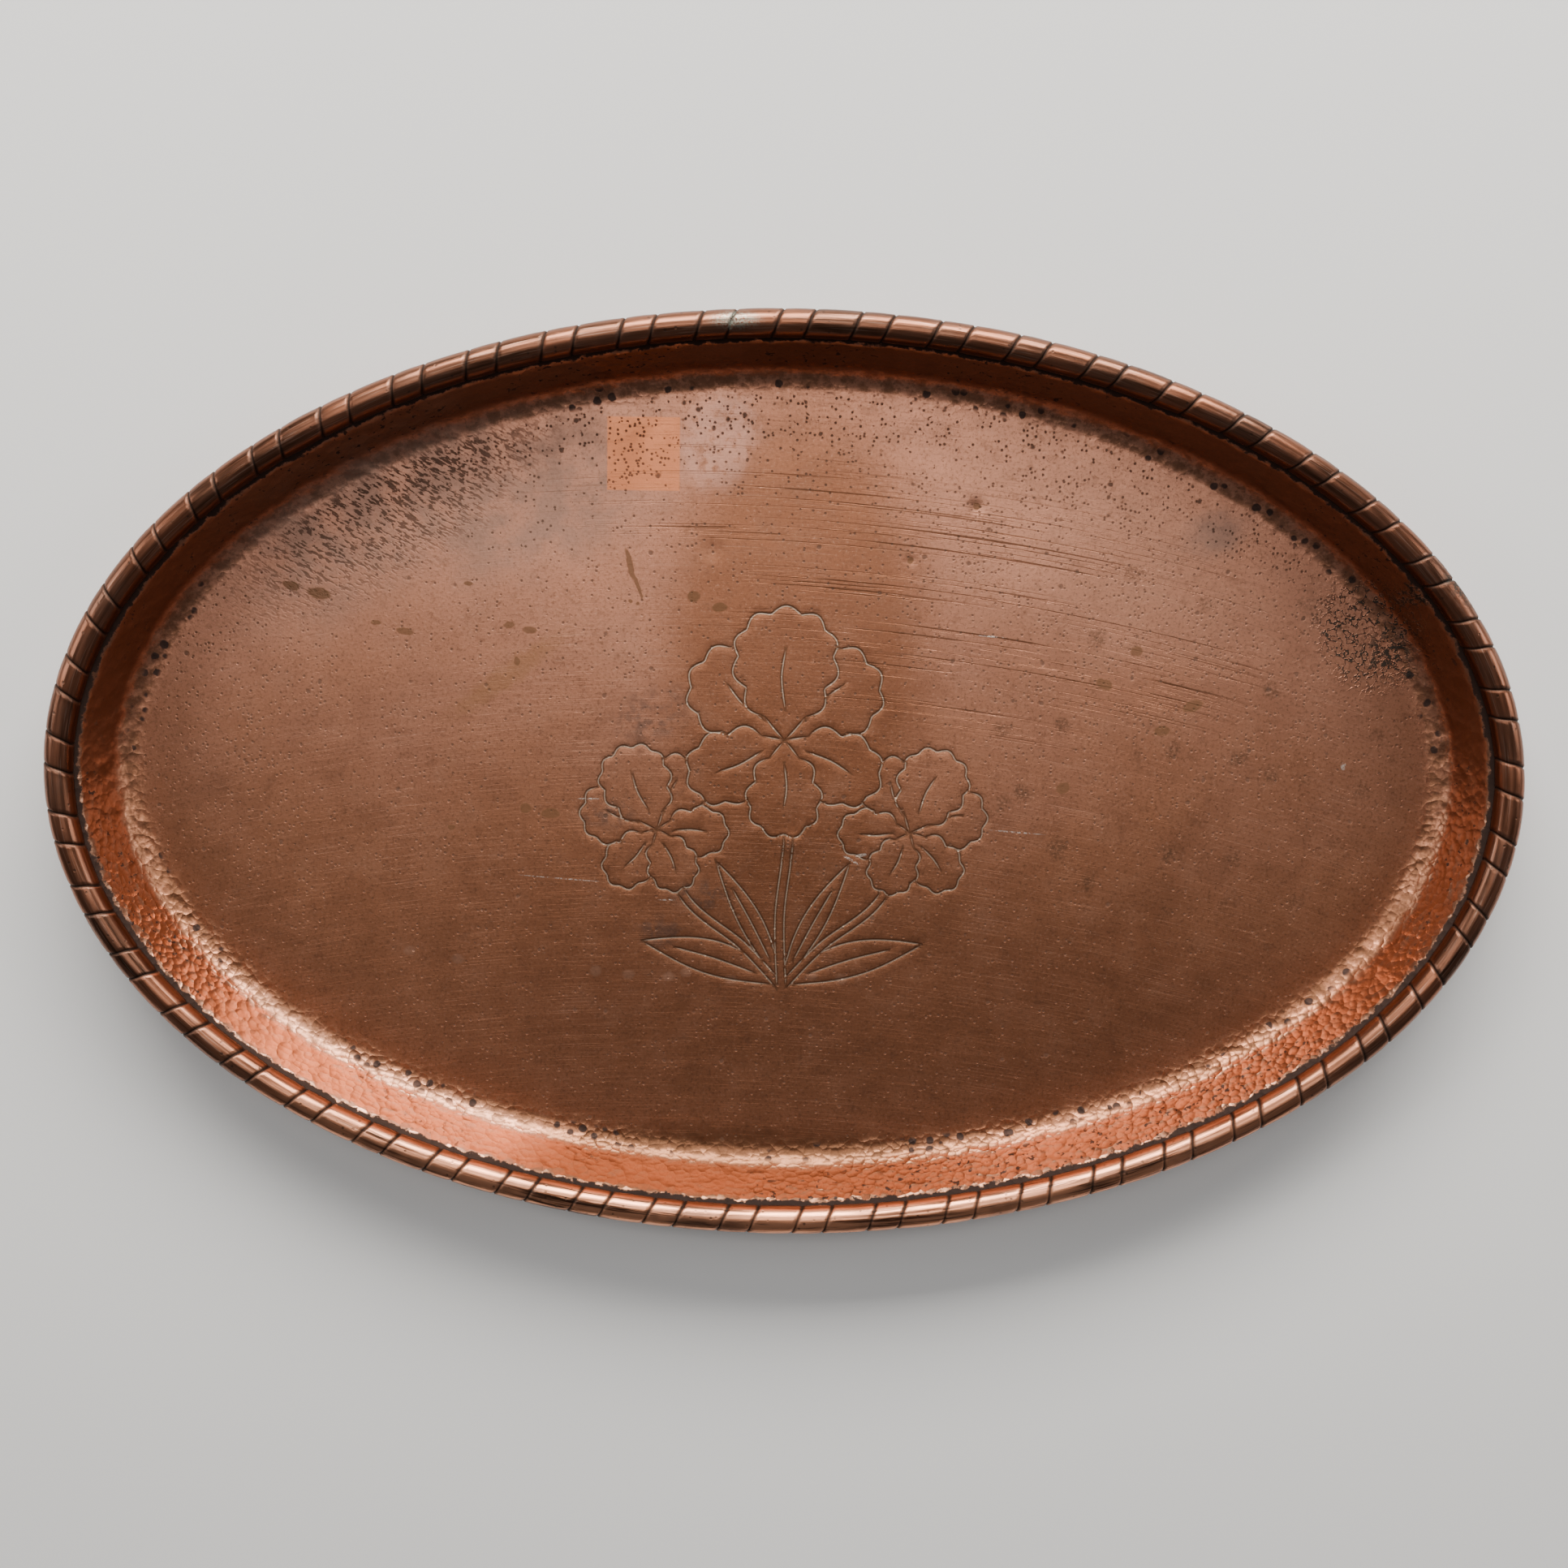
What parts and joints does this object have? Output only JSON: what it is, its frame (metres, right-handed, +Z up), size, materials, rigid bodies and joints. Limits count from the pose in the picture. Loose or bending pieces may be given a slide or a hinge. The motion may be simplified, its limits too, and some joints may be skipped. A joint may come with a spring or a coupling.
{
  "type": "hammered copper tray",
  "caption": "Oval hammered copper serving tray with a flat floor, a coved flaring wall, a roped tube binding round the rim and an iris spray engraved on the floor.",
  "frame": {"origin": "centre of the underside, on the surface the tray stands on", "axes": "+X along the oval's long axis, +Y across it, +Z up out of the dish"},
  "size_m": [0.56, 0.352, 0.0334],
  "materials": {
    "hammered_copper": "aged, hammered and polished by hand",
    "binding_copper": "aged, drawn tube with lengthwise polish marks",
    "core_iron": "dark mill scale"
  },
  "bodies": {
    "root": {"tray_pan": "hammered_copper", "rope_binding": "binding_copper", "core_wire": "core_iron"}
  },
  "joints": []
}
